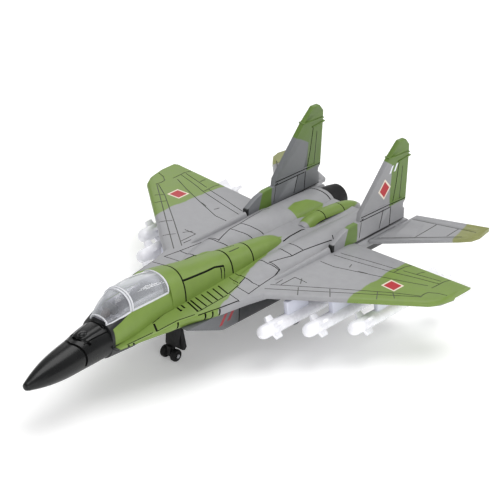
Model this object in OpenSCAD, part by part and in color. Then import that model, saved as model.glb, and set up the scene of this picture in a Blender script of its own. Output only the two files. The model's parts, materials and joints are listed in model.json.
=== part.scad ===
// Die-cast toy jet fighter, 1:100: twin engines, twin fins, folding wheels and opening canopy.
// Nose towards -Y, up is +Z, the origin is on the ground under the middle of its length.
// Inside the modules y is the distance behind the nose tip, and z is the height over the wing plane.

/* [Airframe] */
// Overall length, nose tip to tailplane tips
length = 161; // [160:0.1:162]
// Half of the wing span
half_span = 57; // [56.6:0.1:57.6]
// Height of the wing plane over the ground
wing_h = 22; // [21.9:0.05:22.1]
// Roof of the hollow under the spine
wall = 1.8; // [1.5:0.1:2.2]
// How far the wing tips droop, in degrees
droop = 2.4; // [1:0.1:3]

/* [Tail] */
// Distance of each fin from the middle
fin_x = 16.6; // [16.4:0.1:16.8]
// Thickness of the fins
fin_t = 1.6; // [1.2:0.1:1.8]
// Radius of the tailplane spigots
spigot_r = 0.8; // [0.7:0.05:0.85]

/* [Undercarriage] */
// Radius of the nose wheels
nose_wheel_r = 1.9; // [1.8:0.05:2]
// Radius of the main wheels
main_wheel_r = 3.2; // [3:0.05:3.3]
// Radius of the steel axles and pins
pin_r = 0.6; // [0.5:0.05:0.7]
// Running gap between a pin and its bore
running = 0.06; // [0.03:0.01:0.1]

/* [Stores] */
// Body radius of a missile
missile_r = 2.1; // [1.8:0.1:2.3]
// Length of a missile
missile_len = 44; // [40:1:45]

/* [Stand] */
// Radius of the display stand's socket in the belly
socket_r = 2; // [1.5:0.1:2.5]
// Depth of that socket
socket_depth = 3.8; // [3:0.1:3.8]

/* [Hidden] */
$fn = 48;

split_z = -2.8; // the level where the upper half meets the belly
ground_z = -wing_h;
tip_y = 0.6; // station of the nose tip
tail_y = tip_y + length; // station of the tailplane tips
nose_end = 30; // station where the black nose meets the body
sill_z = 4.9;
bow_y = 38.2; // windscreen arch
arch_y = 54.2; // rear canopy arch
nacelle_in = 4.5;
nacelle_out = 15;
nacelle_floor = -9.9;
floor_z = -6.6; // belly between the engines
nozzle_x = 9.8;
nozzle_z = -3.9;
nozzle_r = 4.6;
tail_end = 141;
fin_base_z = -1.1;
tailplane_y = 143;
tailplane_z = -2.6;
canopy_pin_y = 57.4;
canopy_pin_z = 8.1;
nose_pivot = [62.3, -8.2];
nose_axle_at = [61.6, ground_z + nose_wheel_r];
main_pivot = [103, -9.2];
main_axle_at = [103, ground_z + main_wheel_r];
main_x = 11.4;
stores = [[23.6, 72.5], [32.2, 82.6], [40.8, 92.7]]; // x and nose station of each store
store_z = -9.2;
screw_ys = [84, 112, 131];

// ---- helpers ----

// Moves a sub-part from nose stations and wing-plane heights to the model's own frame
module datum() translate([0, -length / 2 - tip_y, wing_h]) children();

// The starboard twin of a port-side sub-part
module other_side() mirror([1, 0, 0]) children();

// A closed solid through rings of points that all have the same count
module skin(rings) {
    n = len(rings[0]);
    last = len(rings) - 1;
    sides = [for (i = [0:last - 1]) for (j = [0:n - 1])
        [i * n + j, i * n + (j + 1) % n, (i + 1) * n + (j + 1) % n, (i + 1) * n + j]];
    caps = [[for (j = [n - 1:-1:0]) j], [for (j = [0:n - 1]) last * n + j]];
    polyhedron([for (ring = rings) for (p = ring) p], concat(sides, caps), convexity = 6);
}

// An oval ring at station y: half width w, widest level zm, lowest and highest levels
function oval(y, w, low, zm, high, n = 28) =
    [for (i = [0:n - 1]) let (a = 360 * i / n)
        [w * cos(a), y, zm + (a < 180 ? high - zm : zm - low) * sin(a)]];

// An arch ring at station y: flat foot at z = foot, sides square up to a rounded crown
function arch(y, w, foot, crown, x = 0, power = 2.4, n = 18) =
    [for (i = [0:n]) let (a = 180 * i / n)
        [x + w * sign(cos(a)) * pow(abs(cos(a)), 2 / power), y, foot + (crown - foot) * pow(sin(a), 2 / power)]];

// A thin clear shell through arches [station, half width, foot, crown], with walls t thick
module shell(arches, t) difference() {
    skin([for (s = arches) arch(s[0], s[1], s[2], s[3], 0, 2.2, 24)]);
    skin([for (i = [0:len(arches) - 1]) let (s = arches[i], past = i == 0 ? -0.1 : i == len(arches) - 1 ? 0.1 : 0)
        arch(s[0] + past, s[1] - t, s[2] - 0.5, s[3] - t, 0, 2.2, 24)]);
}

// A plate drawn in side view (y, z), of thickness t about x
module side_plate(x, t, outline)
    translate([x - t / 2, 0, 0]) rotate([90, 0, 90]) linear_extrude(t) polygon(outline);

// A rod along X, centred on x
module cross_rod(x, y, z, r, w) translate([x, y, z]) rotate([0, 90, 0]) cylinder(r = r, h = w, center = true);

// ---- upper half ----

// Leading and trailing edge stations, top level and thickness of the wing at distance x from the middle
function leading(x) = lookup(x, [[0, 30], [7.5, 30], [11.5, 43.5], [13.5, 53.5], [15.6, 61], [17.2, 71.5],
    [19, 79.1], [54.4, 110.8], [56.2, 114], [57, 119]]);
function trailing(x) = 121.2 + 0.122 * x;
function wing_top(x) = x < 18 ? 0 : -(x - 18) * tan(droop);

function wing_t(x) = x < 18 ? -split_z : -split_z - (x - 18) * 0.034;

// Lens-shaped ring of the wing at distance x
function wing_ring(x) = let (le = leading(x), te = trailing(x), top = wing_top(x), t = wing_t(x),
    f = min(3.5, (te - le) * 0.2))
    [[x, le, top - 1.2], [x, le + 0.35, top - 0.45], [x, le + f, top], [x, te - f, top - 0.1],
     [x, te, top - 0.9], [x, te, top - 1.3], [x, te - f, top - t], [x, le + f, top - t], [x, le + 0.35, top - 1.8]];

module wing() difference() {
    skin([for (x = [0, 7.5, 11.5, 13.5, 15.6, 17.2, 19, 30, 42, 54.4, 56.2, half_span]) wing_ring(x)]);
    // the root extension thins down towards the nose
    side_plate(6, 14, [[50, 0], [50, 3], [26, 3], [26, -2.76]]);
}

// Ridge behind the canopy
module spine()
    skin([for (s = [[54.2, 7, 9.3], [57, 6.9, 9.05], [62, 6.7, 8.2], [68, 6.3, 7.3], [75, 5.8, 6.3],
        [84, 5.2, 5.1], [95, 4.4, 3.7], [104, 3.5, 2.4], [109, 2.6, 1.2], [111, 1.6, 0.3]])
        arch(s[0], s[1], split_z, s[2])]);

// Flanks beside the cockpit, flat at the canopy sill
module forward_deck()
    skin([for (s = [[nose_end, 5.9, 3.4, 2.6], [34, 6.4, 5.8, 3.9], [bow_y, 6.9, 7.2, sill_z], [46, 7, 7.4, sill_z],
        [56, 7, 7.4, sill_z]])
        [for (p = arch(s[0], s[1], split_z, s[2])) [p[0], p[1], min(p[2], s[3])]]]);

// Raised strip on the wing root that runs back into the fin's strake
module root_strip()
    skin([for (s = [[88, 0.3, 0.1], [91, 1, 0.8], [100, 1.1, 1.1], [113, 1.2, 1.5], [125, 1.2, 0.4]])
        arch(s[0], s[1], split_z, s[2], fin_x - 0.4, 2.3, 12)]);

// Top of one engine housing, round at the tail
module nacelle_top()
    skin([for (s = [[78, 3.5, 0.1], [86, 5.2, 0.9], [95, 6, 1.6], [108, 6.2, 1.9], [122, 6.1, 1.9],
        [133, 5.9, 1.6], [tail_end, 5.4, 1.3]])
        arch(s[0], s[1], split_z, s[2], nozzle_x, 2.3)]);

// Flat shelf outboard of the engine that carries the fin and the tailplane
module tail_shelf()
    side_plate(16.3, 2.4, [[110, -4.4], [110, -1.8], [114, fin_base_z - 0.3], [146.5, fin_base_z - 0.3],
        [149, -2], [149, -3.4], [144, -4.6]]);

// Narrow tail fairing between the engines
module tail_fairing()
    skin([for (s = [[119.5, 2.2, 0.2], [123.5, 3, 2], [132, 3, 1.8], [140, 2.8, 0.8], [144.5, 2.2, -0.6], [146.5, 1, -1.8]])
        arch(s[0], s[1], split_z, s[2])]);

// Deck between the engine housings
module aft_deck() translate([-nozzle_x, 108, split_z]) cube([2 * nozzle_x, tail_end - 108, -split_z - 0.3]);

module upper_half_form() {
    wing();
    aft_deck();
    forward_deck();
    spine();
    tail_fairing();
    nacelle_top();
    root_strip();
    tail_shelf();
    other_side() {
        wing();
        nacelle_top();
        root_strip();
        tail_shelf();
    }
}

module upper_body() color("olivedrab") datum() difference() {
    upper_half_form();
    // cockpit opening and the hollow under the spine
    translate([-3.2, 31, split_z - 1]) cube([6.4, 4, 12]);
    translate([-4.5, 34, split_z - 1]) cube([9, arch_y - 34, 12]);
    translate([-3, 57.4, split_z - 1]) cube([6, 24, 6.1 - split_z - wall]);
    // slot and bore of the canopy hinge
    translate([-0.8, arch_y - 0.1, canopy_pin_z - 2]) cube([1.6, 4.5, 4]);
    cross_rod(0, canopy_pin_y, canopy_pin_z, pin_r + running, 5.8);
    // seats of the nozzles, tailplane spigots, fins with their tabs, and screws
    for (side = [-1, 1]) {
        translate([side * nozzle_x, tail_end - 8, nozzle_z]) rotate([-90, 0, 0]) cylinder(r = nozzle_r - 0.5, h = 9);
        cross_rod(side * 16.3, tailplane_y, tailplane_z, spigot_r + running, 3);
        translate([side * fin_x - 0.5, 128, -3]) cube([1, 12, 3]);
        translate([side * fin_x - fin_t / 2 - 0.15, 112.3, fin_base_z - 0.35]) cube([fin_t + 0.3, 35.7, 4]);
    }
    for (y = screw_ys) translate([0, y, split_z - 2]) cylinder(r = 0.6, h = 4);
    // seats of the store pylons under the wing
    for (side = [-1, 1]) for (s = stores)
        translate([side * s[0], s[1] + 16.5, wing_top(s[0]) - 3]) cylinder(r = 0.8, h = 2.2);
}

// ---- belly ----

// Half-round underside of the forward body
module forward_belly() mirror([0, 0, 1])
    skin([for (s = [[nose_end, 5.9, 8.4], [40, 6.2, 8.9], [46, 5.8, 8.9], [51, 4.4, 8.8], [57, 4.4, 8.6],
        [64, 4.4, 8.2], [70, 4.4, 7.4]])
        arch(s[0], s[1], -split_z, s[2])]);

// Both engine housings with the floor between them, seen from the front
module belly_section() {
    r = 2;
    corner = concat(
        [[nacelle_in, floor_z], [nacelle_in, nacelle_floor + r]],
        [for (a = [180:15:360]) [a > 265 ? nacelle_out - r + r * cos(a) : nacelle_in + r + r * cos(a),
            nacelle_floor + r + r * sin(a)]],
        [[nacelle_out, split_z]]);
    polygon(concat(corner, [for (i = [len(corner) - 1:-1:0]) [-corner[i][0], corner[i][1]]]));
}

module aft_belly() intersection() {
    translate([0, tail_end, 0]) rotate([90, 0, 0]) linear_extrude(tail_end - 74) belly_section();
    side_plate(0, 40, [[70, 0], [70, -11], [108, -11], [110, nacelle_floor], [124, -8.2], [tail_end + 1, -8.2], [tail_end + 1, 0]]);
}

module belly() color("dimgray") datum() difference() {
    union() {
        forward_belly();
        translate([-4.4, 66, floor_z]) cube([8.8, 10, split_z - floor_z]);
        aft_belly();
    }
    // well of the nose wheels, open below
    translate([-3.6, 60, -12]) cube([7.2, 20.5, 12]);
    for (side = [-1, 1]) {
        // main wheel wells, open below
        translate([side * main_x - 2.6, main_pivot[0] - 2.6, -12]) cube([5.2, 17.6, 7.6]);
        cross_rod(side * main_x, main_pivot[0], main_pivot[1], pin_r - 0.01, 6.4);
        translate([side * nozzle_x, tail_end - 8, nozzle_z]) rotate([-90, 0, 0]) cylinder(r = nozzle_r - 0.5, h = 9);
    }
    cross_rod(0, nose_pivot[0], nose_pivot[1], pin_r - 0.01, 9.4);
    // pocket for the tongue of the nose
    translate([-3.65, nose_end - 1, -7.05]) cube([7.3, 4.05, 3.7]);
    // socket of the display stand and the screw holes
    translate([0, 96, floor_z - 0.1]) cylinder(r = socket_r, h = socket_depth + 0.1);
    for (y = screw_ys) translate([0, y, floor_z - 0.4]) {
        cylinder(r = 0.75, h = 5);
        cylinder(r = 1.5, h = 1.3);
    }
}

// ---- nose ----

module nose_cone() color("black") datum() difference() {
    union() {
        skin([for (s = [[tip_y, 0.5, -6.4], [0.8, 0.95, -6.4], [1.2, 1.2, -6.38], [1.9, 1.48, -6.33], [3, 1.85, -6.15],
            [5, 2.5, -5.9], [8, 3.3, -5.52], [11, 3.9, -5.18], [14, 4.32, -4.86], [17, 4.62, -4.52], [20.5, 4.85, -4.1]])
            oval(s[0], s[1], s[2] - s[1], s[2], s[2] + s[1])]);
        skin([oval(20.5, 4.82, -8.92, -4.1, 0.72), oval(24, 5.2, -8.8, -3.45, 1.75),
            oval(28, 5.6, -8.5, -2.93, 2.4), oval(nose_end, 5.9, -8.4, -2.8, 2.6)]);
        // sensor ball ahead of the windscreen
        translate([0.9, 22.6, 1.9]) sphere(r = 1.25);
        // tongue that presses into the body
        translate([-3.6, nose_end - 1, -7]) cube([7.2, 4, 3.6]);
    }
    // turned grooves round the radome
    for (y = [17.6, 19.2]) translate([0, y, -4.4]) rotate([-90, 0, 0]) difference() {
        cylinder(r = 8, h = 0.4);
        translate([0, 0, -1]) cylinder(r = 4.35 + (y - 17.6) * 0.06, h = 2);
    }
}

// ---- cockpit ----

module windscreen() color("lightcyan", 0.4) datum()
    shell([[30, 2.9, 2.62, 4.3], [31.6, 3.6, 3.14, 6], [33.4, 4.2, 3.73, 7.5], [35.5, 4.7, 4.28, 8.8],
        [bow_y - 0.2, 5.05, sill_z, 9.8]], 0.7);

module canopy() color("lightcyan", 0.4) datum() difference() {
    union() {
        shell([[bow_y + 0.25, 5.1, sill_z + 0.1, 9.9], [41, 5.2, sill_z + 0.1, 10.4], [45, 5.25, sill_z + 0.1, 10.6],
            [49.5, 5.25, sill_z + 0.1, 10.2], [arch_y - 0.45, 5.2, sill_z + 0.1, 9.4]], 0.8);
        // hinge lug that reaches back into the spine
        translate([-0.6, arch_y - 1.6, canopy_pin_z - 0.7]) cube([1.2, 1.6 + canopy_pin_y - arch_y, 1.5]);
        cross_rod(0, canopy_pin_y, canopy_pin_z, 0.9, 1.2);
    }
    cross_rod(0, canopy_pin_y, canopy_pin_z, pin_r, 6);
}

module canopy_pin() color("silver") datum() cross_rod(0, canopy_pin_y, canopy_pin_z, pin_r, 5.4);

// Open tray of the cockpit, with side consoles
module cockpit_tub() color("lightgray") datum() difference() {
    union() {
        translate([-4.4, 34.1, split_z]) cube([8.8, arch_y - 34.2, 3.8 - split_z]);
        translate([-3.1, 31.1, split_z]) cube([6.2, 4, 2.6 - split_z]);
    }
    translate([-3.7, 36, split_z + 0.8]) cube([7.4, arch_y - 38.2, 9]);
}

module instrument_panel() color("black") datum()
    side_plate(0, 4.2, [[34.3, 3.8], [33.7, 5.2], [34.6, 6.4], [36, 6.2], [36.4, 3.8]]);

module seat() color("dimgray") datum() {
    side_plate(0, 4.4, [[43.5, split_z + 0.8], [43.5, 0.8], [47.8, 0.4], [49, 5.8], [50.4, 5.6], [49.6, split_z + 0.8]]);
    side_plate(0, 2.8, [[48.8, 5.6], [49.2, 8], [50.6, 7.7], [50.3, 5.4]]);
}

// ---- intakes ----

// Rounded box section of one intake, seen from the front and drawn inwards by inset
module intake_section(inset = 0) {
    r = 2 - inset / 2;
    x0 = nacelle_in + inset;
    x1 = nacelle_out - inset;
    z0 = nacelle_floor + inset;
    polygon(concat(
        [for (a = [180:15:270]) [x0 + r + r * cos(a), z0 + r + r * sin(a)]],
        [for (a = [270:15:360]) [x1 - r + r * cos(a), z0 + r + r * sin(a)]],
        [[x1, split_z - inset], [x0, split_z - inset]]));
}

// Raked engine intake, open at the front and closed by a blanking wall
module intake() difference() {
    intersection() {
        translate([0, 74, 0]) rotate([90, 0, 0]) linear_extrude(26) intake_section();
        side_plate(10, 14, [[51, split_z], [74, split_z], [74, -11], [69.4, -11], [69.4, nacelle_floor]]);
    }
    translate([0, 71.5, 0]) rotate([90, 0, 0]) linear_extrude(26) intake_section(0.9);
}

module intake_left() color("slategray") datum() intake();
module intake_right() color("slategray") datum() other_side() intake();

// ---- tail ----

module fin() {
    side_plate(fin_x, fin_t, [[112.6, fin_base_z + 0.3], [112.6, 2], [117, 4.4], [121, 5.4], [125.2, 5.4],
        [125.4, 7.8], [137.7, 22], [142.4, 26.2], [145.3, 26], [147.1, 23.8], [147.2, 20.8], [147, 5.4],
        [146.2, 4.6], [146, 3.4], [146.8, 2.4], [146.8, fin_base_z + 0.2], [125, fin_base_z - 0.1]]);
    // tab that presses into the tail shelf
    side_plate(fin_x, 1, [[128, fin_base_z + 0.1], [140, fin_base_z + 0.1], [140, -3], [128, -3]]);
}

module fin_left() color("gray") datum() fin();
module fin_right() color("gray") datum() other_side() fin();

// All-moving tailplane on a round spigot
module tailplane() {
    translate([0, 0, tailplane_z - 0.65]) linear_extrude(1.3)
        polygon([[17.9, 129.6], [36.6, 149.4], [38.9, 152.4], [39.6, 155.6], [38.6, tail_y], [17.9, 152.6]]);
    cross_rod(17, tailplane_y, tailplane_z, spigot_r, 3.6);
}

module tailplane_left() color("gray") datum() tailplane();
module tailplane_right() color("gray") datum() other_side() tailplane();

// ---- engines ----

// Tapered exhaust ring that presses into the tail
module nozzle() translate([nozzle_x, tail_end - 8, nozzle_z]) rotate([-90, 0, 0]) rotate_extrude()
    polygon([[3.3, 0], [nozzle_r - 0.5, 0], [nozzle_r - 0.5, 8], [nozzle_r, 8], [nozzle_r, 9.2], [4.35, 13],
        [3.85, 16], [3.35, 16], [3.5, 12], [3.3, 8]]);

module nozzle_left() color("black") datum() nozzle();
module nozzle_right() color("black") datum() other_side() nozzle();

// Flame-holder disc at the bottom of the exhaust
module burner() translate([nozzle_x, tail_end - 6, nozzle_z]) rotate([-90, 0, 0]) rotate_extrude()
    polygon([[0, 0], [3.3, 0], [3.3, 1.2], [2.2, 1.2], [2.2, 0.7], [1.2, 0.7], [0, 2.6]]);

module burner_left() color("dimgray") datum() burner();
module burner_right() color("dimgray") datum() other_side() burner();

// ---- nose gear ----

module nose_leg() color("black") datum() difference() {
    union() {
        side_plate(0, 3.2, [[61, -8.8], [60.9, -16.6], [61.3, -17.8], [63.2, -17.4], [63.9, -14], [63.9, -8.8]]);
        side_plate(0, 1.4, [[60.5, -17.5], [60.5, -20.4], [61, -21], [62.2, -21], [62.7, -20.4], [62.9, -17.5]]);
        cross_rod(0, nose_pivot[0], nose_pivot[1], 1.5, 6.6);
    }
    cross_rod(0, nose_pivot[0], nose_pivot[1], pin_r + running, 9);
    cross_rod(0, nose_axle_at[0], nose_axle_at[1], pin_r + running, 9);
}

module nose_leg_pin() color("silver") datum() cross_rod(0, nose_pivot[0], nose_pivot[1], pin_r, 8.6);

// Slanted door behind the leg, pressed into it
module nose_gear_door() color("black") datum()
    side_plate(0, 2.8, [[63.9, -12.6], [65.2, -12.9], [67.1, -19.6], [66.4, -20.6], [65.2, -20.2], [63.9, -14]]);

module nose_axle() color("silver") datum() cross_rod(0, nose_axle_at[0], nose_axle_at[1], pin_r, 6);

// A tyred wheel with a round shoulder, on the axle's centre line
module wheel(r, w, bore) rotate([0, 90, 0]) rotate_extrude()
    polygon([[bore, -w / 2], [r * 0.6, -w / 2], [r * 0.62, -w * 0.36], [r * 0.7, -w * 0.36], [r * 0.74, -w / 2],
        [r * 0.88, -w * 0.46], [r * 0.97, -w * 0.3], [r, 0], [r * 0.97, w * 0.3], [r * 0.88, w * 0.46],
        [r * 0.74, w / 2], [r * 0.7, w * 0.36], [r * 0.62, w * 0.36], [r * 0.6, w / 2], [bore, w / 2]]);

module nose_wheel_left() color("black") datum()
    translate([1.95, nose_axle_at[0], nose_axle_at[1]]) wheel(nose_wheel_r, 1.7, pin_r);
module nose_wheel_right() color("black") datum() other_side()
    translate([1.95, nose_axle_at[0], nose_axle_at[1]]) wheel(nose_wheel_r, 1.7, pin_r);

// ---- main gear ----

module main_leg() difference() {
    union() {
        side_plate(main_x - 1, 1.6, [[main_pivot[0] - 1.3, -9.4], [main_pivot[0] - 1.1, -17.8], [main_pivot[0] - 0.6, -19.8],
            [main_pivot[0] + 0.6, -19.8], [main_pivot[0] + 1.1, -17.8], [main_pivot[0] + 1.3, -9.4]]);
        cross_rod(main_x, main_pivot[0], main_pivot[1], 1.4, 4.6);
    }
    cross_rod(main_x, main_pivot[0], main_pivot[1], pin_r + running, 6);
    cross_rod(main_x, main_axle_at[0], main_axle_at[1], pin_r - 0.01, 6);
}

module main_leg_left() color("black") datum() main_leg();
module main_leg_right() color("black") datum() other_side() main_leg();

module main_leg_pin_left() color("silver") datum() cross_rod(main_x, main_pivot[0], main_pivot[1], pin_r, 6);
module main_leg_pin_right() color("silver") datum() cross_rod(-main_x, main_pivot[0], main_pivot[1], pin_r, 6);

// Short axle with a head that keeps the wheel on
module main_axle() {
    cross_rod(main_x + 0.2, main_axle_at[0], main_axle_at[1], pin_r, 4);
    cross_rod(main_x + 2.25, main_axle_at[0], main_axle_at[1], pin_r + 0.4, 0.3);
}

module main_axle_left() color("silver") datum() main_axle();
module main_axle_right() color("silver") datum() other_side() main_axle();

module main_wheel_left() color("black") datum()
    translate([main_x + 0.95, main_axle_at[0], main_axle_at[1]]) wheel(main_wheel_r, 2, pin_r + running);
module main_wheel_right() color("black") datum() other_side()
    translate([main_x + 0.95, main_axle_at[0], main_axle_at[1]]) wheel(main_wheel_r, 2, pin_r + running);

// ---- stores ----

// Plate pylon under the wing, with a round peg that presses into it
module pylon(s) {
    top = wing_top(s[0]) - wing_t(s[0]);
    side_plate(s[0], 1.6, [[s[1] + 11.4, top], [s[1] + 12, store_z + missile_r - 0.4], [s[1] + 21.4, store_z + missile_r - 0.4],
        [s[1] + 22, top]]);
    translate([s[0], s[1] + 16.5, top - 1]) cylinder(r = 0.79, h = wing_t(s[0]) + 0.05);
}

// Missile with a round nose, four small front vanes and four swept tail fins
module missile(s) translate([s[0], s[1], store_z]) {
    rotate([-90, 0, 0]) rotate_extrude() polygon(concat([[0, 0]],
        [for (a = [15:15:90]) [missile_r * sin(a), 2.6 * (1 - cos(a))]],
        [[missile_r, missile_len - 2], [missile_r - 0.5, missile_len], [0, missile_len]]));
    for (a = [45:90:315]) rotate([0, a, 0]) {
        side_plate(0, 0.9, [[4.2, 0], [5.4, missile_r + 1.5], [7.6, missile_r + 1.5], [8.2, 0]]);
        side_plate(0, 0.9, [[missile_len - 9, 0], [missile_len - 4.5, missile_r + 2.6], [missile_len - 0.8, missile_r + 2.6],
            [missile_len - 0.6, 0]]);
    }
}

module pylon_inner_left() color("white") datum() pylon(stores[0]);
module pylon_middle_left() color("white") datum() pylon(stores[1]);
module pylon_outer_left() color("white") datum() pylon(stores[2]);
module pylon_inner_right() color("white") datum() other_side() pylon(stores[0]);
module pylon_middle_right() color("white") datum() other_side() pylon(stores[1]);
module pylon_outer_right() color("white") datum() other_side() pylon(stores[2]);

module missile_inner_left() color("white") datum() missile(stores[0]);
module missile_middle_left() color("white") datum() missile(stores[1]);
module missile_outer_left() color("white") datum() missile(stores[2]);
module missile_inner_right() color("white") datum() other_side() missile(stores[0]);
module missile_middle_right() color("white") datum() other_side() missile(stores[1]);
module missile_outer_right() color("white") datum() other_side() missile(stores[2]);

// ---- fasteners ----

// Cross-head screws that hold the belly to the upper half
module body_screws() color("silver") datum() for (y = screw_ys) translate([0, y, -6.6]) difference() {
    union() {
        cylinder(r = 1.4, h = 0.9);
        cylinder(r = 0.6, h = 5.4);
    }
    translate([-0.9, -0.15, -0.5]) cube([1.8, 0.3, 0.9]);
    translate([-0.15, -0.9, -0.5]) cube([0.3, 1.8, 0.9]);
}

upper_body();
belly();
nose_cone();
windscreen();
canopy();
canopy_pin();
cockpit_tub();
instrument_panel();
seat();
intake_left();
intake_right();
fin_left();
fin_right();
tailplane_left();
tailplane_right();
nozzle_left();
nozzle_right();
burner_left();
burner_right();
nose_leg();
nose_leg_pin();
nose_gear_door();
nose_axle();
nose_wheel_left();
nose_wheel_right();
main_leg_left();
main_leg_right();
main_leg_pin_left();
main_leg_pin_right();
main_axle_left();
main_axle_right();
main_wheel_left();
main_wheel_right();
pylon_inner_left();
pylon_middle_left();
pylon_outer_left();
pylon_inner_right();
pylon_middle_right();
pylon_outer_right();
missile_inner_left();
missile_middle_left();
missile_outer_left();
missile_inner_right();
missile_middle_right();
missile_outer_right();
body_screws();
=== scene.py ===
import bmesh
import bpy
from math import cos, pi, radians, sin, tan
from mathutils import Matrix, Vector
from mathutils.bvhtree import BVHTree
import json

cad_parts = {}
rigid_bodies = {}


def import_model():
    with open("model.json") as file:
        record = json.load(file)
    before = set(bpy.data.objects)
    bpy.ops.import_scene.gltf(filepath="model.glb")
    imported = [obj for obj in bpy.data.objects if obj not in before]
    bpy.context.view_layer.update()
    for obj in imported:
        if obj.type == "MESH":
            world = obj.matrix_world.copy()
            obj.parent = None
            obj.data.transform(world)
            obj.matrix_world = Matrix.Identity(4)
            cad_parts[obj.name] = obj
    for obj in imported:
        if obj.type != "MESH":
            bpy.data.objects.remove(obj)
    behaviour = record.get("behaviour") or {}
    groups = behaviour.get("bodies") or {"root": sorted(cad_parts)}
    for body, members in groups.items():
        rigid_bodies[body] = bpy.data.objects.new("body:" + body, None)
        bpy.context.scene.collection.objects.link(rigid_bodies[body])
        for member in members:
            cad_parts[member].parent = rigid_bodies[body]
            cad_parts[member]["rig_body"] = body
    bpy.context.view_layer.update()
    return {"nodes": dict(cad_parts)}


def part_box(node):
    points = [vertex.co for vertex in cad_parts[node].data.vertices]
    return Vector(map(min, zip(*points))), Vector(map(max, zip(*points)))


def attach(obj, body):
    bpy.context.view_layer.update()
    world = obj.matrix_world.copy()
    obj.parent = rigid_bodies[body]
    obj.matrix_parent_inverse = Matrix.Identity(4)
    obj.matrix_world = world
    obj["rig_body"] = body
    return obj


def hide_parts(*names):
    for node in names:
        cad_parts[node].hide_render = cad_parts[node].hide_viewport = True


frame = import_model()
mm = 0.001
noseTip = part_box("nose_cone")[0].y
stationZero = noseTip - 0.6 * mm  # station 0 lies just ahead of the nose tip
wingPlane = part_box("belly")[1].z + 2.8 * mm  # the flat top of the wing


def place(x, s, z):  # x, station behind the nose and height over the wing, all in mm
    return Vector((x * mm, stationZero + s * mm, wingPlane + z * mm))


def linear(hexColour):
    channels = [int(hexColour[i:i + 2], 16) / 255 for i in (1, 3, 5)]
    return [c / 12.92 if c <= 0.04045 else ((c + 0.055) / 1.055) ** 2.4 for c in channels] + [1]


def add(tree, kind, *inputs, named=None, **settings):  # one shader node with its settings and its links
    node = tree.nodes.new("ShaderNode" + kind)
    for key, value in settings.items():
        setattr(node, key, value)
    for key, value in list(enumerate(inputs)) + list((named or {}).items()):
        if isinstance(value, bpy.types.NodeSocket):
            tree.links.new(value, node.inputs[key])
        elif value is not None:
            node.inputs[key].default_value = value
    return node


def newMaterial(name):
    material = bpy.data.materials.new(name)
    material.use_nodes = True
    material.node_tree.nodes.clear()
    return material, material.node_tree


def stations(tree):  # object coordinates turned into x, station and height in mm
    spot = add(tree, "TexCoord").outputs["Object"]
    return add(tree, "Mapping", spot, (0, -stationZero / mm, -wingPlane / mm), (0, 0, 0),
               (1 / mm,) * 3).outputs[0]


def within(tree, where, shape):  # mm inside a shape: a list of planes, or an ellipsoid's middle and radii
    if isinstance(shape, dict):
        offset = add(tree, "VectorMath", where, shape["middle"], operation="SUBTRACT").outputs[0]
        offset = add(tree, "VectorMath", offset, shape["radii"], operation="DIVIDE").outputs[0]
        far = add(tree, "VectorMath", offset, operation="LENGTH").outputs["Value"]
        return add(tree, "Math", add(tree, "Math", 1.0, far, operation="SUBTRACT").outputs[0],
                   min(shape["radii"]),
                   operation="MULTIPLY").outputs[0]
    inside = None
    for nx, ny, nz, limit in shape:
        side = add(tree, "VectorMath", where, (nx, ny, nz), operation="DOT_PRODUCT").outputs["Value"]
        side = add(tree, "Math", side, limit, operation="SUBTRACT").outputs[0]
        inside = side if inside is None else add(tree, "Math", inside, side, operation="MINIMUM").outputs[0]
    return inside


def layered(tree, base, layers):  # paint colours sprayed one over another, each through its own mask
    where = stations(tree)
    both = add(tree, "VectorMath", where, operation="ABSOLUTE").outputs[0]
    apart = add(tree, "SeparateXYZ", where)
    both = add(tree, "CombineXYZ", add(tree, "SeparateXYZ", both).outputs[0], apart.outputs[1],
               apart.outputs[2]).outputs[0]
    colour = None
    for layer in layers:
        mask = None
        for shape in layer["shapes"]:
            inside = within(tree, both if layer.get("mirrored", True) else where, shape)
            mask = inside if mask is None else add(tree, "Math", mask, inside, operation="MAXIMUM").outputs[0]
        if layer.get("wander"):
            noise = add(tree, "TexNoise", where, named={"Scale": 0.16, "Detail": 2.0}).outputs[0]
            shift = add(tree, "Math", noise, 0.5, operation="SUBTRACT").outputs[0]
            mask = add(tree, "Math", shift, layer["wander"] * 2, mask, operation="MULTIPLY_ADD").outputs[0]
        mask = add(tree, "MapRange", mask, -layer["soft"] / 2, layer["soft"] / 2).outputs[0]
        under = linear(base) if colour is None else colour
        colour = add(tree, "Mix", data_type="RGBA",
                     named={0: mask, 6: under, 7: linear(layer["colour"])}).outputs[2]
    return colour


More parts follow.
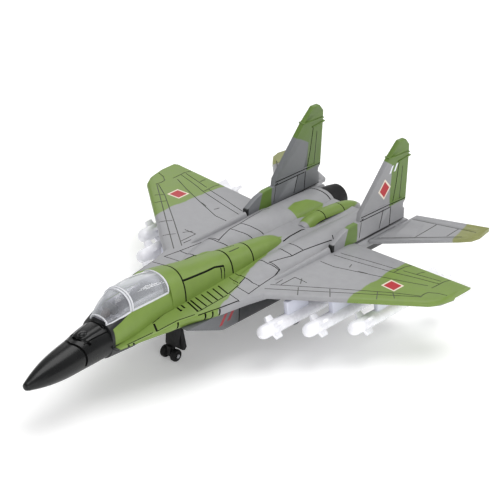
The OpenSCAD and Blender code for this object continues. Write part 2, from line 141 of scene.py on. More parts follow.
def surface(name, colour, layers=(), rough=(0.4, 0.5), mottle=0.06, mottleScale=0.35, grain=6.0, bump=0.03,
            coat=0.0,
            metal=0.0, shine=0.5, glow=0.0):
    material, tree = newMaterial(name)
    where = stations(tree)
    paint = layered(tree, colour, layers) if layers else None
    cloudy = add(tree, "TexNoise", where, named={"Scale": mottleScale, "Detail": 4.0,
                                                 "Roughness": 0.6}).outputs[0]
    strength = add(tree, "MapRange", cloudy, 0.3, 0.7, 1 - mottle, 1 + mottle).outputs[0]
    shade = add(tree, "VectorMath", paint or linear(colour)[:3], operation="SCALE",
                named={"Scale": strength}).outputs[0]
    dull = add(tree, "MapRange", cloudy, 0.3, 0.7, rough[0], rough[1]).outputs[0]
    fine = add(tree, "TexNoise", where, named={"Scale": grain, "Detail": 2.0}).outputs[0]
    relief = add(tree, "Bump", named={"Strength": bump, "Distance": 0.05 * mm, "Height": fine}).outputs[0]
    shader = add(tree, "BsdfPrincipled", named={"Base Color": shade, "Roughness": dull, "Normal": relief,
                                                "Metallic": metal,
                                                "Coat Weight": coat, "Coat Roughness": 0.25,
                                                "Specular IOR Level": shine,
                                                "Emission Color": (1, 1, 1, 1), "Emission Strength": glow})
    tree.links.new(shader.outputs[0], add(tree, "OutputMaterial").inputs[0])
    return material


def patch(points, lowest=-9):  # planes round a convex outline of x and station
    middleX, middleS = (sum(p[i] for p in points) / len(points) for i in (0, 1))
    planes = [(0, 0, 1, lowest)]
    for (x0, s0), (x1, s1) in zip(points, points[1:] + points[:1]):
        long = ((x1 - x0) ** 2 + (s1 - s0) ** 2) ** 0.5
        nx, ns = (s0 - s1) / long, (x1 - x0) / long
        if nx * (middleX - x0) + ns * (middleS - s0) < 0:
            nx, ns = -nx, -ns
        planes.append((nx, ns, 0, nx * x0 + ns * s0))
    return planes


olive = "#758e3f"
grey = "#9a9a9d"
redMark = "#b3202a"
paleMark = "#e9dccb"


def sideDiamond(s, z, halfS, halfZ):  # four planes of an upright diamond on a fin's outer face, in mm
    k = halfS / halfZ
    return [(0, a, b * k, (a * s + b * z * k) - halfS) for a in (-1, 1) for b in (-1, 1)] + [(1, 0, 0, 17)]


def slash(s, z, width, height, lean, outer=17):  # a slanted bar on an outboard face
    return [(0, 1, -lean, s - lean * z - width / 2), (0, -1, lean, lean * z - s - width / 2),
            (0, 0, 1, z - height / 2), (0, 0, -1, -z - height / 2), (1, 0, 0, outer)]


# Satin enamel in two colours: gives the soft sheen of the sprayed camouflage and its faintly clouded tone
camouflage = surface("satin enamel, olive over grey", grey, [
    {"colour": olive, "soft": 0.4, "wander": 1.1, "shapes": [
        [(1, 0.06, 0, 42.9), (0, 0, 1, -3.6)],
        [(-1, -0.333, 0, -36.8), (0, 0, 1, -5)]]},
    {"colour": olive, "soft": 0.35, "wander": 0.6, "mirrored": False, "shapes": [
        patch([(-4.2, 122.4), (-8.2, 122.6), (-9.3, 127), (-8.4, 131.4), (-5, 135.6), (-2, 131)])]},
    {"colour": "#17181a", "soft": 0.25, "shapes": [[(0, -1, 0, -31), (0, 0, 1, -5)]]},
    {"colour": paleMark, "soft": 0.12, "shapes": [[(1, 0, 0, 39.2), (-1, 0, 0, -44), (0, 1, 0, 108.4),
                                                   (0, -1, 0, -113.2)]]},
    {"colour": redMark, "soft": 0.12, "shapes": [[(1, 0, 0, 39.7), (-1, 0, 0, -43.5), (0, 1, 0, 108.9),
                                                  (0, -1, 0, -112.7)]]}],
    rough=(0.4, 0.52), mottle=0.06, coat=0.03)
# The same enamel on the spine: green throughout, with a dark band where it meets the nose
spinePaint = surface("satin olive enamel", olive, [
    {"colour": "#17181a", "soft": 0.25, "shapes": [[(0, -1, 2.4, -26.8), (0, -1, 0, -38.9)],
                                                   [(0, -1, 0, -31)]]}],
    rough=(0.4, 0.52), mottle=0.05, coat=0.03)
# Enamel on the tail hump: green, with the wing's grey along its front and foot
humpPaint = surface("satin olive enamel on the tail hump", olive, [
    {"colour": grey, "soft": 0.4, "wander": 0.5, "shapes": [[(0, -1, 0, -120.8)], [(0, 0, -1, 0.8)]]}],
    rough=(0.4, 0.52), mottle=0.05, coat=0.03)
# Enamel on the fins: slightly darker grey, with the starboard fin's grey darker still as painted shade, green
# towards the tips and rudders, and the plain marks
finPaintAndShade = surface("satin enamel on the tail", "#949497", [
    # painted shade: the starboard fin, below x zero, is given a darker grey than the port fin
    {"colour": "#76787b", "soft": 1, "mirrored": False, "shapes": [[(-1, 0, 0, 0)]]},
    {"colour": "#5f7a33", "soft": 0.35, "wander": 0.6, "mirrored": False, "shapes": [
        [(1, 0, 0, 0), (0, 0.75, 1, 124), (0, 0, 1, 5.2)],
        [(-1, 0, 0, 0), (0, 0.6, 1, 99.3), (0, 0, 1, 5.2)],
        [(1, 0, 0, 0), (0, 1, 0, 139.1), (0, 0, 1, 5.6)],
        [(-1, 0, 0, 0), (0, 1, 0, 140.5), (0, 0, 1, 5.6)],
        [(0, 1, -0.3, 118.2), (0, -1, 0, -124.1), (0, 0, 1, -0.6)]]},
    {"colour": "#141515", "soft": 0.2, "shapes": [[(0, -1, 0, -113.5), (0, 0, -1, -2.2)],
                                                  [(0, 0, -1, 0.55), (0, 1, 0, 120)]]},
    {"colour": "#e8eaf0", "soft": 0.12, "shapes": [slash(139.1, 18, 0.8, 2.3, 0.5),
                                                   slash(141.2, 18.1, 0.8, 2.3, 0.5)]},
    {"colour": paleMark, "soft": 0.12, "shapes": [sideDiamond(136.2, 12.4, 3, 3.4)]},
    {"colour": redMark, "soft": 0.12, "shapes": [sideDiamond(136.2, 12.4, 2.25, 2.65)]}],
    rough=(0.4, 0.52), mottle=0.05, coat=0.03)
# Enamel on the tailplanes: grey with a dull olive tip
tailplanePaint = surface("satin enamel on the tailplanes", "#949497", [
    {"colour": "#84884f", "soft": 0.5, "wander": 0.6, "shapes": [[(1, 0.27, 0, 75.2)]]}], rough=(0.38, 0.5),
                         mottle=0.05, coat=0.06)
# Enamel on the intakes: darker grey, nearly black further back, with two red bars
intakePaint = surface("satin enamel on the intakes", "#606265", [
    {"colour": "#1b1c1e", "soft": 0.2, "shapes": [[(0, 1, 0, 73.6)]]},
    {"colour": "#9c1f2b", "soft": 0.15, "shapes": [slash(66.8, -5.4, 1.3, 3.2, 0.7, 12),
                                                   slash(70.2, -4.9, 1.3, 3.2, 0.7, 12)]}],
    rough=(0.4, 0.52), mottle=0.05, coat=0.04)
# Dark oil wash in the recessed lines, dull and nearly black, and painted shade in the grooves
washAndGrooveShade = surface("dark panel wash and painted groove shade", "#191a15", rough=(0.7, 0.85), mottle=0.2, bump=0.02, shine=0.2)
# Thinned wash: a faint grey line where the engraving is shallow, partly painted shade in those grooves
thinWashAndGrooveShade = surface("thin panel wash and painted groove shade", "#5c5d57", rough=(0.65, 0.8), mottle=0.2, bump=0.02)
# Bare black nose moulding: the crisp highlight of smooth ABS
blackPlastic = surface("satin black ABS", "#0e0f10", rough=(0.24, 0.32), mottle=0.12, mottleScale=0.2,
                       bump=0.03, shine=0.33)
# Rougher black moulding: legs and exhausts stay dark with hardly any highlight
mattBlack = surface("matt black ABS", "#0c0c0d", rough=(0.5, 0.65), mottle=0.15, bump=0.05, shine=0.3)
# Unpainted charcoal belly: a soft even sheen under the wing
bellyPlastic = surface("satin charcoal ABS", "#2a2b2d", rough=(0.4, 0.5), mottle=0.1, bump=0.04)
# Glossy white stores: bright, with small sharp highlights
whitePlastic = surface("glossy white polystyrene", "#f7f7fc", rough=(0.22, 0.32), mottle=0.02, bump=0.015,
                       coat=0.2)
# White of the pylons painted bluer and duller than the stores: painted shade on the same white plastic
pylonWhiteInPaintedShade = surface("white polystyrene of the pylons in painted shade", "#d9dbe8", rough=(0.3, 0.4), mottle=0.03,
                       bump=0.02, coat=0.1)
# Pale plastic of the cockpit: uneven grey seen through the clear canopy
cockpitGrey = surface("pale grey ABS", "#9796a0", rough=(0.3, 0.5), mottle=0.25, mottleScale=0.6, bump=0.06)
# Dull dark grey of the panel and burner discs, with hardly any shine
darkGrey = surface("dark grey ABS", "#3c3d40", rough=(0.45, 0.6), mottle=0.12, bump=0.05)
# Seat: nearly black and blotchy, so that it reads as padding
seatGrey = surface("charcoal ABS of the seat", "#242428", rough=(0.4, 0.6), mottle=0.3, mottleScale=0.9,
                   bump=0.08)
# Gunsight: a small warm dark spot behind the windscreen
sightBrown = surface("dark brown painted ABS", "#4b3c36", rough=(0.4, 0.55), mottle=0.3, mottleScale=0.8,
                     bump=0.05)
# Canopy frame paint: pale, even and lightly glossy
frameGrey = surface("silver grey canopy paint", "#dcdde2", rough=(0.3, 0.42), mottle=0.05, bump=0.02)
# Plated pins and axles: small bright metal ends
steel = surface("plated steel wire", "#b9babd", rough=(0.22, 0.35), mottle=0.05, bump=0.02, metal=1.0)
# Tyres: dead black with a fine grain
rubber = surface("dull black vinyl tyre", "#0f0f10", rough=(0.6, 0.75), mottle=0.12, bump=0.08, shine=0.3)


# polished clear polystyrene: lets the cockpit show face on and mirrors the lights where it curves away
def clearPlastic():
    material, tree = newMaterial("clear polystyrene")
    where = stations(tree)
    haze = add(tree, "TexNoise", where, named={"Scale": 0.4, "Detail": 2.0}).outputs[0]
    dull = add(tree, "MapRange", haze, 0.3, 0.7, 0.05, 0.12).outputs[0]
    ripple = add(tree, "Bump", named={"Strength": 0.2, "Distance": 0.15 * mm, "Height": haze}).outputs[0]
    edgeOn = add(tree, "LayerWeight", 0.5).outputs["Facing"]
    cover = add(tree, "MapRange", edgeOn, 0.0, 1.0, 0.08, 0.8).outputs[0]
    glossy = add(tree, "BsdfPrincipled", named={"Base Color": linear("#d9dce2"), "Roughness": dull,
                                                "Normal": ripple,
                                                "Alpha": cover, "IOR": 1.59, "Coat Weight": 1.0})
    tree.links.new(glossy.outputs[0], add(tree, "OutputMaterial").inputs[0])
    return material


clear = clearPlastic()
print("materials ready")


def makePiece(bm, name, materials, body, standsFor=(), sharp=32):
    bmesh.ops.recalc_face_normals(bm, faces=bm.faces)
    mesh = bpy.data.meshes.new(name)
    bm.to_mesh(mesh)
    bm.free()
    for material in materials:
        mesh.materials.append(material)
    mesh.shade_smooth()
    mesh.set_sharp_from_angle(angle=radians(sharp))
    piece = bpy.data.objects.new(name, mesh)
    bpy.context.scene.collection.objects.link(piece)
    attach(piece, body)
    if standsFor:
        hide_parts(*standsFor)
    return piece


def ringEdges(bm, points):
    verts = [bm.verts.new(p) for p in points]
    return [bm.edges.new((verts[i - 1], verts[i])) for i in range(len(verts))]


def loft(bm, rings):  # a closed skin through rings of points
    loops = [ringEdges(bm, ring) for ring in rings]
    for near, far in zip(loops, loops[1:]):
        bmesh.ops.bridge_loops(bm, edges=near + far)
    for end in (loops[0], loops[-1]):
        bmesh.ops.edgeloop_fill(bm, edges=end)


def between(table, steps):  # more stations along a smooth curve through the given ones
    rows = []
    for i in range(len(table) - 1):
        before, start, end, after = table[max(i - 1, 0)], table[i], table[i
            + 1], table[min(i + 2, len(table) - 1)]
        for k in range(steps):
            t = k / steps
            rows.append([0.5 * (2 * b + (c - a) * t + (2 * a - 5 * b + 4 * c - d) * t * t
                                + (3 * b - a - 3 * c + d) * t ** 3)
                         for a, b, c, d in zip(before, start, end, after)])
    return rows + [list(table[-1])]


def signed(value, power):
    return abs(value) ** power * (1 if value >= 0 else -1)


def arch(s, w, foot, crown, x=0, power=2.4, count=40):
    ring = []
    for i in range(count + 1):
        a = pi * i / count
        ring.append(place(x + w * signed(cos(a), 2 / power), s, foot
                          + (crown - foot) * signed(sin(a), 2 / power)))
    return ring


def oval(s, w, low, middle, high, count=64):
    ring = []
    for i in range(count):
        a = 2 * pi * i / count
        ring.append(place(w * cos(a), s, middle + (high - middle if a < pi else middle - low) * sin(a)))
    return ring


def sampled(points, step=0.9):  # points along a line, closer together than step
    line = []
    for start, end in zip(points, points[1:]):
        start, end = Vector(start), Vector(end)
        count = max(1, int((end - start).length / step))
        line += [start.lerp(end, k / count) for k in range(count)]
    return line + [Vector(points[-1])]


def down(points):  # rays on to the top of a piece, from points of x and station
    return [(place(p.x, p.y, 40), Vector((0, 0, -1))) for p in sampled([(x, s, 0) for x, s in points])]


def across(points, x):  # rays on to an upright face, from points of station and height
    return [(place(x, p.x, p.y), Vector((-1 if x > 0 else 1, 0, 0)))
            for p in sampled([(s, z, 0) for s, z in points])]


def around(s, fromAngle, toAngle, x=0, z=-2, lean=0):  # rays towards a long axis, for a hoop at one station
    rays = []
    for i in range(25):
        a = radians(fromAngle + (toAngle - fromAngle) * i / 24)
        rays.append((place(x + 40 * cos(a), s + lean * abs(cos(a)), z + 40 * sin(a)),
                     Vector((-cos(a), 0, -sin(a)))))
    return rays


# cuts lines, coloured with wash and painted groove shade, into a closed shape: each groove has rays, a width,
# a depth in mm and a slot
def engrave(bm, name, grooves):
    target = bpy.data.meshes.new(name)
    bmesh.ops.recalc_face_normals(bm, faces=bm.faces)
    bm.to_mesh(target)
    tree = BVHTree.FromBMesh(bm)
    bm.free()
    knife = bmesh.new()
    for rays, width, depth, slot in grooves:
        hits = [(tree.ray_cast(origin, direction)[0], direction) for origin, direction in rays]
        hits = [(hit + direction * depth * mm, direction) for hit, direction in hits if hit]
        if len(hits) < 2:
            continue
        wall = bmesh.new()
        verts = [wall.verts.new(point) for point, direction in hits]
        away = dict(zip(verts, [direction for point, direction in hits]))
        edges = [wall.edges.new(pair) for pair in zip(verts, verts[1:])]
        lifted = bmesh.ops.extrude_edge_only(wall, edges=edges)["geom"]
        for vert in [g for g in lifted if isinstance(g, bmesh.types.BMVert)]:
            base = next(e.other_vert(vert) for e in vert.link_edges if e.other_vert(vert) in away)
            vert.co = base.co - away[base] * (depth + 0.6) * mm
        bmesh.ops.recalc_face_normals(wall, faces=wall.faces)
        bmesh.ops.solidify(wall, geom=wall.faces[:], thickness=width * mm)
        bmesh.ops.recalc_face_normals(wall, faces=wall.faces)
        for face in wall.faces:
            face.material_index = slot
        strip = bpy.data.meshes.new("strip")
        wall.to_mesh(strip)
        wall.free()
        knife.from_mesh(strip)
        bpy.data.meshes.remove(strip)
    return cutAway(target, knife)


def cutAway(target, knife):  # takes one closed shape out of another and gives back what is left
    knifeMesh = bpy.data.meshes.new("knife")
    knife.to_mesh(knifeMesh)
    knife.free()
    body = bpy.data.objects.new("body", target)
    cutter = bpy.data.objects.new("cutter", knifeMesh)
    for mesh in (target, knifeMesh):
        for material in (camouflage, washAndGrooveShade, thinWashAndGrooveShade):
            mesh.materials.append(material)
    for thing in (body, cutter):
        bpy.context.scene.collection.objects.link(thing)
    cut = body.modifiers.new("grooves", "BOOLEAN")
    cut.operation = "DIFFERENCE"
    cut.solver = "EXACT"
    cut.use_self = True
    cut.material_mode = "TRANSFER"
    cut.object = cutter
    bpy.context.view_layer.update()
    result = bmesh.new()
    result.from_mesh(body.evaluated_get(bpy.context.evaluated_depsgraph_get()).to_mesh())
    for thing in (body, cutter):
        mesh = thing.data
        bpy.data.objects.remove(thing)
        bpy.data.meshes.remove(mesh)
    bmesh.ops.remove_doubles(result, verts=result.verts, dist=0.002 * mm)
    return result


def carve(bm, boxes):  # opens a shape with square-cornered pockets, each given by two corners
    knife = bmesh.new()
    for low, high in boxes:
        low, high = place(*low), place(*high)
        middle, size = (low + high) / 2, high - low
        bmesh.ops.create_cube(knife, size=1, matrix=Matrix.Translation(middle) @ Matrix.Diagonal((*size, 1)))
    target = bpy.data.meshes.new("opened")
    bmesh.ops.recalc_face_normals(bm, faces=bm.faces)
    bm.to_mesh(target)
    bm.free()
    return cutAway(target, knife)


# a flat outline pushed out to a plate, then stood up in its place
def plate(bm, outline, thickness, turn, middle):
    verts = [bm.verts.new((a * mm, b * mm, 0)) for a, b in outline]
    face = bm.faces.new(verts)
    grown = bmesh.ops.extrude_face_region(bm, geom=[face])["geom"]
    lifted = [g for g in grown if isinstance(g, bmesh.types.BMVert)]
    bmesh.ops.translate(bm, verts=lifted, vec=(0, 0, thickness * mm))
    bmesh.ops.translate(bm, verts=bm.verts, vec=(0, 0, -thickness * mm / 2))
    bmesh.ops.transform(bm, matrix=Matrix.Translation(middle) @ turn, verts=bm.verts)
    bmesh.ops.recalc_face_normals(bm, faces=bm.faces)


def easeEdges(bm, offset, angle=38, segments=2):
    corners = [e for e in bm.edges if len(e.link_faces) == 2 and e.calc_face_angle(0) > radians(angle)]
    bmesh.ops.bevel(bm, geom=corners, offset=offset * mm, offset_type="OFFSET", segments=segments,
                    profile=0.5,
                    affect="EDGES", material=-1, clamp_overlap=True)


upright = Matrix(((0, 0, 1), (1, 0, 0), (0, 1, 0))).to_4x4()  # outline's first axis aft, second axis up


def moulded(node, material, edge=0.16, grooves=(), sharp=32):  # a CAD shape with its edges eased
    bm = bmesh.new()
    bm.from_mesh(frame["nodes"][node].data)
    bmesh.ops.remove_doubles(bm, verts=bm.verts, dist=0.004 * mm)
    bmesh.ops.dissolve_limit(bm, angle_limit=radians(1), verts=bm.verts, edges=bm.edges)
    easeEdges(bm, edge)
    bmesh.ops.remove_doubles(bm, verts=bm.verts, dist=0.002 * mm)
    materials = [material]
    if grooves:
        bm = engrave(bm, node, grooves)
        materials += [washAndGrooveShade, thinWashAndGrooveShade]
    return makePiece(bm, node + "_shape", materials, frame["nodes"][node]["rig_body"], [node], sharp)


wing = {
    "edge": [(0, 30), (7.5, 30), (11.5, 43.5), (13.5, 53.5), (15.6, 61), (17.2, 71.5), (19, 79.1),
             (54.4, 110.8), (56.2, 114), (57, 119)],
    "droop": 2.4, "thick": 2.8, "thinning": 0.034, "line": 0.27, "depth": 0.18, "heavyLine": 0.6,
        "thinsFrom": 50, "thinAhead": 0.041, "fallAhead": 0.065,
    "notches": (33.4, 35, 49.4, 58.6, 61, 63.6),
        "valley": [(2.1, 108), (1.4, 111.8), (1.2, 117.3), (1.7, 121)]}


def leading(x):
    for (x0, s0), (x1, s1) in zip(wing["edge"], wing["edge"][1:]):
        if x <= x1 and x1 > x0:
            return s0 + (s1 - s0) * (x - x0) / (x1 - x0)
    return wing["edge"][-1][1]


def wingRing(x, side):
    front, back = leading(x), 121.2 + 0.122 * x
    top = 0 if x < 18 else -(x - 18) * tan(radians(wing["droop"]))
    thick = wing["thick"] - max(0, x - 18) * wing["thinning"]
    f = min(3.5, (back - front) * 0.2)
    profile = [(front, -1.3), (front + 0.02, -1.05), (front + 0.2, -0.66), (front + 0.55, -0.4),
               (front + 1.3, -0.2),
               (front + f * 0.7, -0.06), (front + f, 0), (back - f, -0.1), (back - 0.5, -0.7),
               (back - 0.1, -0.84),
               (back, -1), (back, -1.2), (back - 0.3, -1.4), (back - f, -thick), (front + f, -thick),
               (front + 1.2, -2.15), (front + 0.35, -1.8)]
    return [place(x * side, s, top + z) for s, z in profile]


wingLines = {  # x and station of every recessed line on one half of the wing
    "fine": [
        [(17.6, 81.6), (19.5, 83.3), (30, 92.6), (44, 105.1), (51.3, 111.6)],
        [(17.2, 84.7), (19.2, 86.4), (30, 95.6), (44, 107.2), (50.9, 111.9)],
        [(51.2, 111.4), (50.8, 113.4), (51, 115.4), (53.4, 117.3), (56, 118.2)],
        [(26.2, 86.4), (23.8, 89.6)], [(33.2, 92.6), (30.6, 95.7)], [(43.2, 101.6), (41, 104.8)],
        [(18.2, 106.3), (23, 106.8), (35.6, 112.3), (42, 115.2), (48.6, 118.6)],
        [(18.4, 112.2), (27, 114.4), (36.8, 117.2), (43, 119.6), (50.4, 122)],
        [(19, 114.6), (29, 117.5), (36.9, 119.6)], [(37.1, 117.4), (37.4, 125.3)],
             [(50.4, 118.2), (50.6, 126.9)], [(38.2, 120.2), (49.6, 123.6)],
        [(19.1, 87), (19.1, 93.5), (23.6, 93.6)], [(22.9, 91.6), (21.2, 94.3)], [(18, 86.4), (17.8, 89.6)],
        [(44.4, 107.6), (46.6, 105.6)],
        [(32.2, 111), (29.4, 110)], [(25.8, 111.6), (26.4, 109.8)], [(42.4, 121.4), (42.8, 124.6)]],
    "deck": [
        [(5.4, 83), (9.8, 82.2), (15.5, 82.1)], [(5.8, 79.9), (10.1, 78.8)],
             [(12.2, 72.1), (11.1, 76.9), (9.9, 82.2)],
        [(11.1, 76.9), (16.4, 76), (15.5, 82), (14.6, 90), (13.9, 93), (9.6, 93.2)],
             [(12.2, 72.1), (17, 70.9)],
        [(7.3, 45), (6.9, 55.4)], [(8.1, 33.6), (10.3, 41.8)], [(10.9, 43.2), (12.2, 49.5), (13.5, 56)],
        [(12.8, 57.6), (13.1, 58.6), (12.5, 71.2)], [(14.2, 56.6), (15.8, 63.6), (16.9, 71)],
        [(14.6, 56), (15.3, 55.5)], [(14.9, 59.4), (15.9, 59)], [(15.3, 62.4), (16.4, 62)]],
    "heavy": [
        [(7.5, 44.8), (10.6, 42.7), (12.6, 41.4)], [(10, 33.5), (11.3, 32.7)],
              [(6.7, 55.3), (9.4, 54.5), (9.2, 55.6)],
        [(6.9, 57.1), (8.8, 56.6)], [(11.6, 47.9), (13.4, 46.8)], [(9.7, 34.8), (9.9, 34.2)],
        [(6.8, 59.9), (12.8, 57.7)], [(6.8, 61.2), (12.7, 59.3)]],
    "slats": [[(6.7, s), (12.6 - (s - 62) * 0.05, s - 1.7)] for s in (63.5, 66, 68.5, 71, 73.4)]}

for side in (1, -1):
    bm = bmesh.new()
    xs = [0, 4, 7.5, 9.5, 11.5, 12.5, 13.5, 14.6, 15.6, 16.4, 17.2, 18, 19, 22, 26, 30, 35, 40, 45, 50, 53,
          54.4, 55.3, 56.2, 56.7, 57]
    loft(bm, [wingRing(x, side) for x in xs])
    grooves = []
    for kind, width, depth, slot in (("fine", wing["line"], wing["depth"], 2),
                                     ("deck", wing["line"], 0.22, 1),
                                     ("heavy", wing["heavyLine"], 0.45, 1), ("slats", 0.5, 0.4, 1)):
        grooves += [(down([(x * side, s) for x, s in line]), width, depth, slot) for line in wingLines[kind]]
    if side > 0:
        grooves.append((down(wing["valley"]), 0.5, 0.4, 1))
    for s in wing["notches"]:
        grooves.append((across([(s, -0.3), (s, -2.5)], 60 * side), 0.55, 0.5, 1))
    for s in range(32, 51, 2):
        everything = bm.verts[:] + bm.edges[:] + bm.faces[:]
        bmesh.ops.bisect_plane(bm, geom=everything, plane_co=place(0, s, 0), plane_no=(0, 1, 0),
                               dist=0.001 * mm)
    bm = engrave(bm, "wing", grooves)
    under = wingPlane - wing["thick"] * mm
    for vert in bm.verts:  # the root extension thins down towards the nose
        ahead = wing["thinsFrom"] - (vert.co.y - stationZero) / mm
        if ahead > 0:
            kept = 1 - wing["thinAhead"] * ahead
            vert.co.z = under + (vert.co.z - under) * kept - wing["fallAhead"] * ahead * mm
    bm = carve(bm, [((-4.5, 34, -6), (4.5, 54.2, 20))])
    makePiece(bm, "wing_left" if side > 0 else "wing_right", [camouflage, washAndGrooveShade, thinWashAndGrooveShade], "airframe",
              ["upper_body"])
print("wings ready")

spine = {"stations": [(54.2, 7, 9.4), (57, 6.95, 9.35), (62, 6.7, 8.3), (68, 6.3, 7.3), (75, 5.8, 6.3),
                      (84, 5.2, 5.1), (95, 4.4, 3.7), (103, 3.6, 2.5), (107, 2.9, 1.3), (108.8, 2, 0.2)],
         "hoops": [(60, 0.6), (83, 0.6), (93, 0.5)], "panel": [(5.1, 60.2), (4.5, 71), (4.2, 75), (4.4, 79)]}
bm = bmesh.new()
loft(bm, [arch(s, w, -2.8, crown) for s, w, crown in between(spine["stations"], 4)])
grooves = [(around(s, -2, 182, lean=-0.5), width, 0.3, 1) for s, width in spine["hoops"]]
for side in (1, -1):
    grooves.append((down([(x * side, s) for x, s in spine["panel"]]), 0.34, 0.3, 1))
    for s in (77.2, 78.6):
        grooves.append((down([(4.3 * side, s), (4.9 * side, s - 0.3), (5.4 * side, s - 0.6)]), 0.45, 0.5, 1))
    grooves.append((down([(1.5 * side, 84.6), (1.1 * side, 89.4)]), 0.3, 0.2, 2))
bm = engrave(bm, "spine", grooves)
makePiece(bm, "spine_top", [spinePaint, washAndGrooveShade, thinWashAndGrooveShade], "airframe", ["upper_body"])

deck = {"stations": [(30, 5.9, 3.4, 2.6), (34, 6.4, 5.8, 3.9), (38.2, 6.9, 7.2, 4.9), (46, 7, 7.4, 4.9),
                     (56, 7, 7.4, 4.9)]}
bm = bmesh.new()
rings = []
for s, w, crown, flat in deck["stations"]:
    ring = arch(s, w, -2.8, crown)
    top = wingPlane + flat * mm
    rings.append([Vector((p.x, p.y, min(p.z, top))) for p in ring])
loft(bm, rings)
bm = carve(bm, [((-4.5, 34, -6), (4.5, 57, 20)), ((-3.2, 31, 0), (3.2, 34.5, 20))])
makePiece(bm, "forward_deck", [spinePaint], "airframe", ["upper_body"], 40)

nacelle = {"x": 9.8, "stations": [(78, 3.5, 0.1), (86, 5.2, 0.9), (95, 6, 1.6), (108, 6.2, 1.9),
                                  (122, 6.1, 1.9), (133, 5.9, 1.6), (141, 5.4, 1.3)],
           "lines": [[(2.6, 108), (7.2, 105.9), (12.3, 105.2), (13, 111), (13.7, 117)],
                     [(3.4, 102.9), (8.7, 100.8), (12.2, 100.4), (12.3, 105.2)],
                     [(9.9, 92.6), (12.2, 100.4)], [(4.1, 93.6), (9.4, 92.2), (14.1, 92.6)],
                     [(12.3, 119), (14.2, 117.4)]]}
for side in (1, -1):
    bm = bmesh.new()
    loft(bm, [arch(s, w, -2.8, crown, nacelle["x"] * side, 2.3) for s, w,
              crown in between(nacelle["stations"], 4)])
    bm = engrave(bm, "nacelle", [(down([(x * side, s) for x, s in line]), 0.3, 0.25, 1)
                                 for line in nacelle["lines"] + wingLines["deck"][:5]]
                 + [(around(139.6, 8, 172, nacelle["x"] * side), 0.4, 0.3, 1)])
    makePiece(bm, "engine_top_left" if side > 0 else "engine_top_right", [camouflage, washAndGrooveShade, thinWashAndGrooveShade],
              "airframe", ["upper_body"])

hump = {"stations": [(119.5, 2.2, 0.2), (123.5, 3, 2), (132, 3, 1.8), (140, 2.8, 0.8), (144.5, 2.2, -0.6),
                     (146.5, 1, -1.8)]}
bm = bmesh.new()
loft(bm, [arch(s, w, -2.8, crown) for s, w, crown in between(hump["stations"], 4)])
bm = engrave(bm, "hump", [(around(s, 10, 170), 0.35, 0.25, 1) for s in (128, 137)]
             + [(down([(x, 122.6), (x, 143)]), 0.7, 1.6, 1) for x in (-2.75, 2.75)])
makePiece(bm, "tail_hump", [humpPaint, washAndGrooveShade, thinWashAndGrooveShade], "airframe", ["upper_body"])

strip = {"x": 16.2, "stations": [(88, 0.3, 0.1), (91, 1, 0.8), (100, 1.1, 1.1), (112.2, 1.2, 1.5)]}
for side in (1, -1):
    bm = bmesh.new()
    loft(bm, [arch(s, w, -2.8, crown, strip["x"] * side, 2.3, 20) for s, w,
              crown in between(strip["stations"], 4)])
    makePiece(bm, "root_strip_left" if side > 0 else "root_strip_right", [camouflage], "airframe",
              ["upper_body"])


shelf = {"x": 16.3, "thick": 2.4, "outline": [(110, -4.4), (110, -1.8), (114, -1.45), (146.5, -1.45),
                                              (149, -2), (149, -3.4), (144, -4.6)]}
for side in (1, -1):
    bm = bmesh.new()
    plate(bm, shelf["outline"], shelf["thick"], upright, place(shelf["x"] * side, 0, 0))
    easeEdges(bm, 0.25)
    makePiece(bm, "tail_shelf_left" if side > 0 else "tail_shelf_right", [camouflage], "airframe",
              ["upper_body"])
bm = bmesh.new()
plate(bm, [(119, -2.8), (119, -0.3), (141, -0.3), (141, -2.8)], 19.6, upright, place(0, 0, 0))
easeEdges(bm, 0.2)
makePiece(bm, "aft_deck", [camouflage], "airframe", ["upper_body"])
print("body top ready")

nose = {"stations": [(0.6, 0.35, -6.4), (0.8, 0.95, -6.4), (1.2, 1.2, -6.38), (1.9, 1.48, -6.33),
                     (3, 1.85, -6.15), (5, 2.5, -5.9),
                     (8, 3.3, -5.52), (11, 3.9, -5.18), (14, 4.32, -4.86), (17, 4.62, -4.52),
                     (20.5, 4.85, -4.1)],
        "collar": [(20.5, 4.85, -8.95, -4.1, 0.75), (24, 5.2, -8.8, -3.45, 1.75),
                   (28, 5.65, -8.5, -2.93, 2.4), (30, 5.9, -8.4, -2.8, 2.6)],
        "hoops": [(17.9, 2.2, -20, 200, 0.8, 0.5), (20, 3.4, 42, 138, 0.9, 0.6)],
        "ridge": [(3, 21.2), (3.3, 24), (4.1, 29.9)], "slot": [(0.6, 28.6), (2.2, 28.9), (3.2, 29.3)],
        "ball": (0.6, 23.1, 1.6), "ballRadius": 1.15,
        "panel": [(21.4, 2.3, -1.5, 1.05), (22, 2.6, -1.3, 1.5), (24, 2.85, -1, 2.05), (28, 3.15, -0.4, 2.68),
                  (29.7, 3.3, -0.3, 2.85)]}
bm = bmesh.new()
cone = [oval(s, r, z - r, z, z + r) for s, r, z in between(nose["stations"], 4)]
loft(bm, cone + [oval(*row) for row in between(nose["collar"], 4)[1:]])
grooves = [(around(s, start, end, z=-4.2, lean=lean), width, depth, 1) for s, lean, start, end, width,
           depth in nose["hoops"]]
for side in (1, -1):
    grooves.append((down([(x * side, s) for x, s in nose["ridge"]]), 0.3, 0.25, 1))
    grooves.append((down([(x * side, s) for x, s in nose["slot"]]), 0.6, 0.5, 1))
bm = engrave(bm, "nose", grooves)
makePiece(bm, "nose_shape", [blackPlastic, mattBlack, mattBlack], "airframe", ["nose_cone"])
bm = bmesh.new()
loft(bm, [arch(*row, power=2.9) for row in between(nose["panel"], 3)])
easeEdges(bm, 0.12, 60)
bm = engrave(bm, "panel", [(around(28.7, 40, 140, z=-1), 0.6, 0.5, 1)])
makePiece(bm, "nose_panel", [blackPlastic, mattBlack, mattBlack], "airframe")
